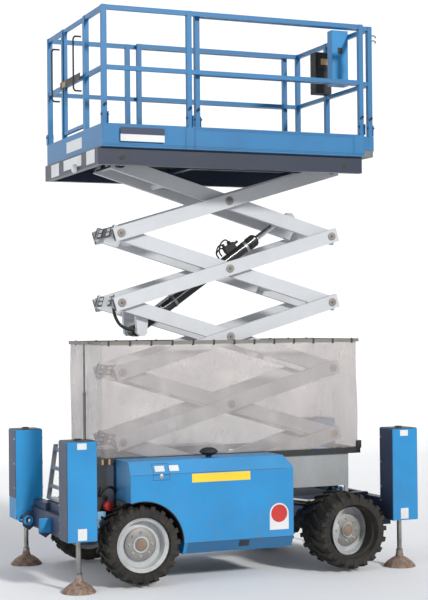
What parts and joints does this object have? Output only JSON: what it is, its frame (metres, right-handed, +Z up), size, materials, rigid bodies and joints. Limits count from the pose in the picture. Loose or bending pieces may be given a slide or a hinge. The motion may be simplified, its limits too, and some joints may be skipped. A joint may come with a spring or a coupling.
{
  "type": "scissor lift",
  "caption": "Rough-terrain scissor lift raised on outriggers, with crossed arm pairs, a guard curtain, a railed platform and a sliding deck extension.",
  "frame": {"origin": "centre of the machine's footprint at ground level, under the outrigger pads", "axes": "+Z up, X along the machine with the steered wheels and the platform extension at +X, Y across with the near side at -Y"},
  "size_m": [3.24, 1.85, 4.8],
  "materials": {
    "body_blue": "gloss enamel",
    "frame_navy": "satin enamel",
    "arm_grey": "satin enamel",
    "panel_grey": "satin enamel",
    "tyre_rubber": "worn rubber",
    "rim_silver": "silver enamel",
    "chrome_rod": "polished",
    "black_paint": "satin enamel",
    "pad_steel": "rusted steel",
    "curtain_vinyl": "clouded sheet",
    "deck_grey": "checker plate",
    "ladder_grey": "satin enamel"
  },
  "bodies": {
    "chassis": {"chassis_frame": "frame_navy", "tray_near": "body_blue", "tray_far": "body_blue", "side_panel_near": "panel_grey", "side_panel_far": "panel_grey", "power_block": "black_paint", "valve_block": "black_paint", "entry_ladder": "ladder_grey", "drive_axle": "frame_navy", "steer_axle": "frame_navy", "jack_box_rear_near": "body_blue", "jack_box_rear_far": "body_blue", "jack_box_front_near": "body_blue", "jack_box_front_far": "body_blue", "guard_base": "black_paint", "guard_curtain": "curtain_vinyl"},
    "knuckle_near": {"knuckle_near": "frame_navy"},
    "knuckle_far": {"knuckle_far": "frame_navy"},
    "guard_rail": {"guard_rail": "frame_navy"},
    "lift_barrel": {"lift_barrel": "black_paint"},
    "lift_rod": {"lift_rod": "chrome_rod"},
    "platform": {"platform_frame": "frame_navy", "platform_floor": "deck_grey", "platform_rails": "body_blue"},
    "entry_gate": {"entry_gate": "body_blue"},
    "extension": {"extension_floor": "deck_grey", "extension_rails": "body_blue", "control_box": "black_paint", "manual_box": "body_blue"},
    "wheel_rear_near": {"tyre_rear_near": "tyre_rubber", "rim_rear_near": "rim_silver"},
    "leg_rear_near": {"jack_leg_rear_near": "pad_steel"},
    "wheel_rear_far": {"tyre_rear_far": "tyre_rubber", "rim_rear_far": "rim_silver"},
    "leg_rear_far": {"jack_leg_rear_far": "pad_steel"},
    "wheel_front_near": {"tyre_front_near": "tyre_rubber", "rim_front_near": "rim_silver"},
    "leg_front_near": {"jack_leg_front_near": "pad_steel"},
    "wheel_front_far": {"tyre_front_far": "tyre_rubber", "rim_front_far": "rim_silver"},
    "leg_front_far": {"jack_leg_front_far": "pad_steel"},
    "outer_1": {"outer_arms_1": "arm_grey"},
    "inner_1": {"inner_arms_1": "arm_grey"},
    "outer_2": {"outer_arms_2": "arm_grey"},
    "inner_2": {"inner_arms_2": "arm_grey"},
    "outer_3": {"outer_arms_3": "arm_grey"},
    "inner_3": {"inner_arms_3": "arm_grey"},
    "outer_4": {"outer_arms_4": "arm_grey"},
    "inner_4": {"inner_arms_4": "arm_grey"},
    "outer_5": {"outer_arms_5": "arm_grey"},
    "inner_5": {"inner_arms_5": "arm_grey"}
  },
  "joints": [
    {"name": "lift", "type": "hinge", "parent": "chassis", "child": "outer_1", "pos_m": [-0.92, 0, 0.556], "axis": [0, -1, 0], "range_deg": [-12.28, 43.52]},
    {"name": "cross_1", "type": "hinge", "parent": "outer_1", "child": "inner_1", "pos_m": [0.08686, 0, 0.85386], "axis": [0, -1, 0], "range_deg": [-87.05, 24.57]},
    {"name": "fold_right_1", "type": "hinge", "parent": "outer_1", "child": "inner_2", "pos_m": [1.09373, 0, 1.15173], "axis": [0, -1, 0], "range_deg": [-87.05, 24.57]},
    {"name": "cross_2", "type": "hinge", "parent": "inner_2", "child": "outer_2", "pos_m": [0.08686, 0, 1.44959], "axis": [0, -1, 0], "range_deg": [-24.57, 87.05]},
    {"name": "fold_left_2", "type": "hinge", "parent": "inner_2", "child": "outer_3", "pos_m": [-0.92, 0, 1.74746], "axis": [0, -1, 0], "range_deg": [-24.57, 87.05]},
    {"name": "cross_3", "type": "hinge", "parent": "outer_3", "child": "inner_3", "pos_m": [0.08686, 0, 2.04532], "axis": [0, -1, 0], "range_deg": [-87.05, 24.57]},
    {"name": "fold_right_3", "type": "hinge", "parent": "outer_3", "child": "inner_4", "pos_m": [1.09373, 0, 2.34319], "axis": [0, -1, 0], "range_deg": [-87.05, 24.57]},
    {"name": "cross_4", "type": "hinge", "parent": "inner_4", "child": "outer_4", "pos_m": [0.08686, 0, 2.64105], "axis": [0, -1, 0], "range_deg": [-24.57, 87.05]},
    {"name": "fold_left_4", "type": "hinge", "parent": "inner_4", "child": "outer_5", "pos_m": [-0.92, 0, 2.93892], "axis": [0, -1, 0], "range_deg": [-24.57, 87.05]},
    {"name": "cross_5", "type": "hinge", "parent": "outer_5", "child": "inner_5", "pos_m": [0.08686, 0, 3.23678], "axis": [0, -1, 0], "range_deg": [-87.05, 24.57]},
    {"name": "platform_level", "type": "hinge", "parent": "inner_5", "child": "platform", "pos_m": [-0.92, 0, 3.53465], "axis": [0, -1, 0], "range_deg": [-12.29, 43.53]},
    {"name": "barrel_swing", "type": "hinge", "parent": "inner_3", "child": "lift_barrel", "pos_m": [-0.7, 0, 2.1], "axis": [0, -1, 0], "range_deg": [-25.43, 90.1]},
    {"name": "rod_stroke", "type": "slide", "parent": "lift_barrel", "child": "lift_rod", "axis": [0.8176, 0, 0.5758], "range_m": [-0.2609, 0.9234]},
    {"name": "guard_rise", "type": "slide", "parent": "chassis", "child": "guard_rail", "axis": [0, 0, 1], "range_m": [-0.7721, 2.7349], "deforming": ["guard_curtain"]},
    {"name": "steer_near", "type": "hinge", "parent": "chassis", "child": "knuckle_near", "pos_m": [0.908, -0.5, 0.35], "axis": [0, 0, 1], "range_deg": [-38, 10]},
    {"name": "steer_far", "type": "hinge", "parent": "chassis", "child": "knuckle_far", "pos_m": [0.908, 0.5, 0.35], "axis": [0, 0, 1], "range_deg": [-38, 10]},
    {"name": "spin_rear_near", "type": "hinge", "parent": "chassis", "child": "wheel_rear_near", "pos_m": [-0.945, -0.712, 0.35], "axis": [0, 1, 0], "continuous": true},
    {"name": "spin_rear_far", "type": "hinge", "parent": "chassis", "child": "wheel_rear_far", "pos_m": [-0.945, 0.712, 0.35], "axis": [0, 1, 0], "continuous": true},
    {"name": "spin_front_near", "type": "hinge", "parent": "knuckle_near", "child": "wheel_front_near", "pos_m": [0.95929, -0.7057, 0.35], "axis": [-0.2419, 0.9703, 0], "continuous": true},
    {"name": "spin_front_far", "type": "hinge", "parent": "knuckle_far", "child": "wheel_front_far", "pos_m": [0.85671, 0.7057, 0.35], "axis": [-0.2419, 0.9703, 0], "continuous": true},
    {"name": "jack_rear_near", "type": "slide", "parent": "chassis", "child": "leg_rear_near", "axis": [0, 0, 1], "range_m": [-0.12, 0.26]},
    {"name": "jack_rear_far", "type": "slide", "parent": "chassis", "child": "leg_rear_far", "axis": [0, 0, 1], "range_m": [-0.12, 0.26]},
    {"name": "jack_front_near", "type": "slide", "parent": "chassis", "child": "leg_front_near", "axis": [0, 0, 1], "range_m": [-0.12, 0.26]},
    {"name": "jack_front_far", "type": "slide", "parent": "chassis", "child": "leg_front_far", "axis": [0, 0, 1], "range_m": [-0.12, 0.26]},
    {"name": "gate_swing", "type": "hinge", "parent": "platform", "child": "entry_gate", "pos_m": [-1.226, 0.28, 3.8], "axis": [0, 0, 1], "range_deg": [0, 90]},
    {"name": "extend", "type": "slide", "parent": "platform", "child": "extension", "axis": [1, 0, 0], "range_m": [0, 1.48]}
  ],
  "couplings": [
    {"joint": "cross_1", "follows": "lift", "ratio": -2},
    {"joint": "fold_right_1", "follows": "lift", "ratio": -2},
    {"joint": "cross_2", "follows": "lift", "ratio": 2},
    {"joint": "fold_left_2", "follows": "lift", "ratio": 2},
    {"joint": "cross_3", "follows": "lift", "ratio": -2},
    {"joint": "fold_right_3", "follows": "lift", "ratio": -2},
    {"joint": "cross_4", "follows": "lift", "ratio": 2},
    {"joint": "fold_left_4", "follows": "lift", "ratio": 2},
    {"joint": "cross_5", "follows": "lift", "ratio": -2},
    {"joint": "platform_level", "follows": "lift", "ratio": 1},
    {"joint": "barrel_swing", "follows": "lift", "ratio": 2.07},
    {"joint": "rod_stroke", "follows": "lift", "m_per_rad": 1.215},
    {"joint": "guard_rise", "follows": "lift", "m_per_rad": 3.6},
    {"joint": "steer_far", "follows": "steer_near", "ratio": 1}
  ]
}
